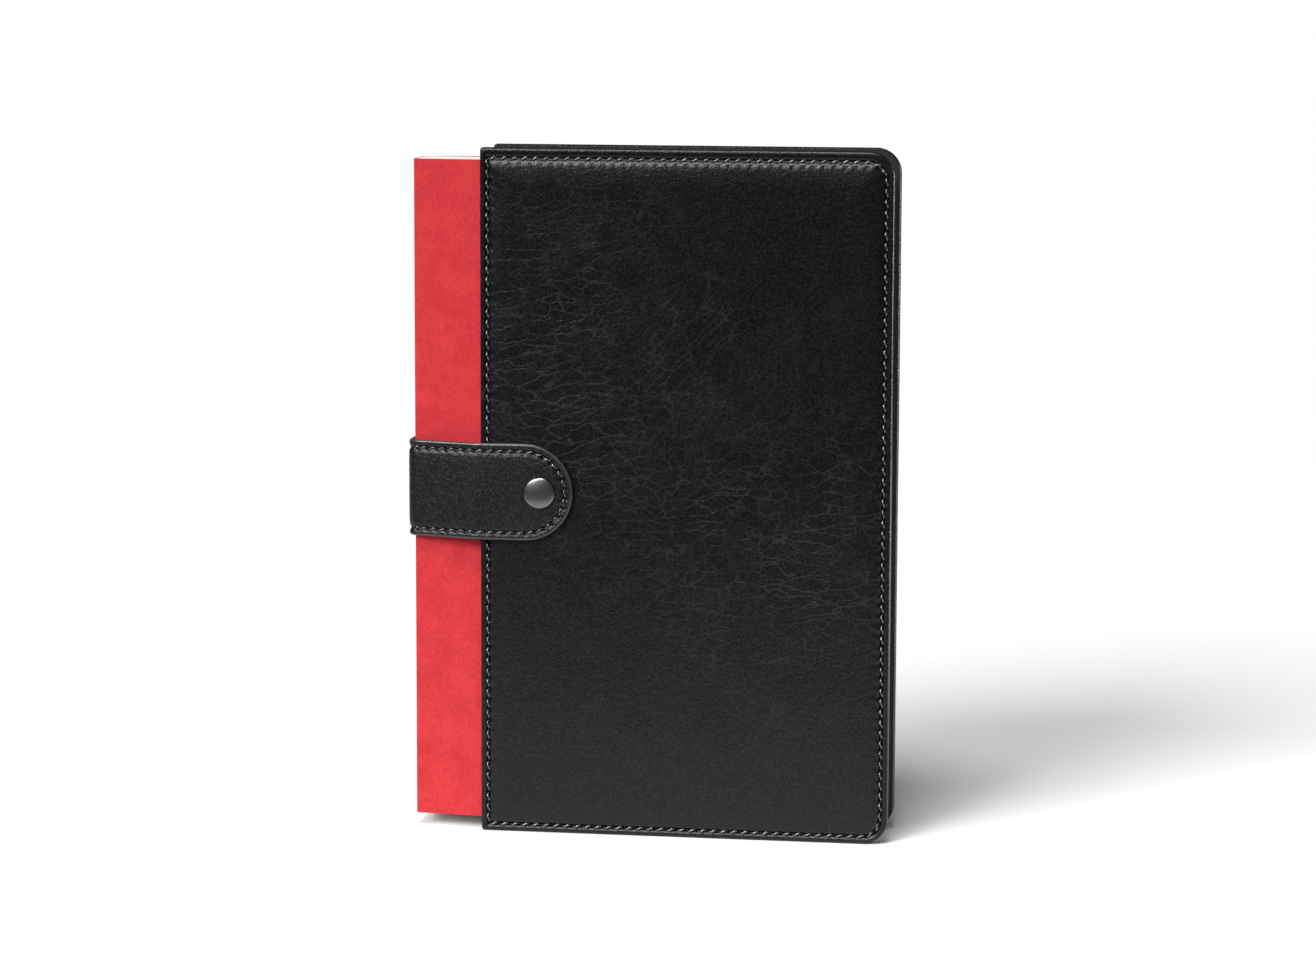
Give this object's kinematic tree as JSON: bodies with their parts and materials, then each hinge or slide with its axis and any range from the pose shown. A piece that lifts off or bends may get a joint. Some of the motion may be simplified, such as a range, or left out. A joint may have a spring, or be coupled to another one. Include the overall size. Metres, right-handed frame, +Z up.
{
  "type": "leather notebook cover",
  "caption": "Padded leather sleeves on the covers of a soft A5 notebook, joined round its spine by a stitched strap with a snap.",
  "frame": {"origin": "bottom centre of the whole object, on the surface that the sleeves' bottom edges stand on", "axes": "+X from the notebook's spine to its fore edge, +Y from the front sleeve to the back sleeve, +Z up along the spine"},
  "size_m": [0.1544, 0.0336, 0.218],
  "materials": {
    "sleeve_leather": "black satin leather with a fine creased grain",
    "pocket_leather": "black smooth leather",
    "foam": "thin dark foam sheet",
    "stiffener_board": "grey board",
    "sleeve_lining": "black woven lining",
    "thread": "black waxed thread",
    "strap_leather": "black leather, a little greyer and finer than the sleeves",
    "strap_lining": "black smooth leather",
    "dark_nickel": "dark nickel plate, satin",
    "snap_steel": "plain nickel plate",
    "red_cover_paper": "matte red cover paper",
    "page_paper": "off-white paper",
    "spine_mull": "glued gauze"
  },
  "bodies": {
    "notebook": {"notebook_spine_cover": "red_cover_paper", "page_block": "page_paper", "spine_glue": "spine_mull", "strap_spine_run_leather": "strap_leather", "strap_spine_run_lining": "strap_lining", "strap_spine_run_stitching": "thread"},
    "front_cover": {"front_board": "stiffener_board", "front_foam_padding": "foam", "front_lining": "sleeve_lining", "front_outer_leather": "sleeve_leather", "front_panel_stitching": "thread", "front_pocket_sheet": "pocket_leather", "notebook_front_cover": "red_cover_paper", "snap_post": "snap_steel", "snap_stud": "snap_steel", "strap_front_bridge_leather": "strap_leather", "strap_front_bridge_lining": "strap_lining", "strap_front_bridge_stitching": "thread"},
    "strap_flap": {"snap_cap": "dark_nickel", "snap_socket": "snap_steel", "strap_flap_leather": "strap_leather", "strap_flap_lining": "strap_lining", "strap_flap_stitching": "thread"},
    "back_cover": {"back_board": "stiffener_board", "back_foam_padding": "foam", "back_lining": "sleeve_lining", "back_outer_leather": "sleeve_leather", "back_panel_stitching": "thread", "back_pocket_sheet": "pocket_leather", "notebook_back_cover": "red_cover_paper", "strap_anchor_tab_leather": "strap_leather", "strap_anchor_tab_lining": "strap_lining", "strap_anchor_tab_stitching": "thread", "strap_back_bridge_leather": "strap_leather", "strap_back_bridge_lining": "strap_lining", "strap_back_bridge_stitching": "thread"},
    "front_leaves": {"front_leaves": "page_paper"},
    "back_leaves": {"back_leaves": "page_paper"}
  },
  "joints": [
    {"name": "front_cover_open", "type": "hinge", "parent": "notebook", "child": "front_cover", "pos_m": [-0.07437, -0.00755, 0.1098], "axis": [0, 0, -1], "range_deg": [0, 170]},
    {"name": "back_cover_open", "type": "hinge", "parent": "notebook", "child": "back_cover", "pos_m": [-0.07437, 0.00745, 0.1098], "axis": [0, 0, 1], "range_deg": [0, 110]},
    {"name": "strap_unsnap", "type": "hinge", "parent": "front_cover", "child": "strap_flap", "pos_m": [-0.05407, -0.01515, 0.1098], "axis": [0, 0, -1], "range_deg": [0, 90]},
    {"name": "front_leaves_turn", "type": "hinge", "parent": "notebook", "child": "front_leaves", "pos_m": [-0.07287, -0.00605, 0.1098], "axis": [0, 0, -1], "range_deg": [0, 85]},
    {"name": "back_leaves_turn", "type": "hinge", "parent": "notebook", "child": "back_leaves", "pos_m": [-0.07287, 0.00595, 0.1098], "axis": [0, 0, 1], "range_deg": [0, 55]}
  ],
  "couplings": [
    {"joint": "front_leaves_turn", "follows": "front_cover_open", "ratio": 0.5},
    {"joint": "back_leaves_turn", "follows": "back_cover_open", "ratio": 0.5}
  ]
}
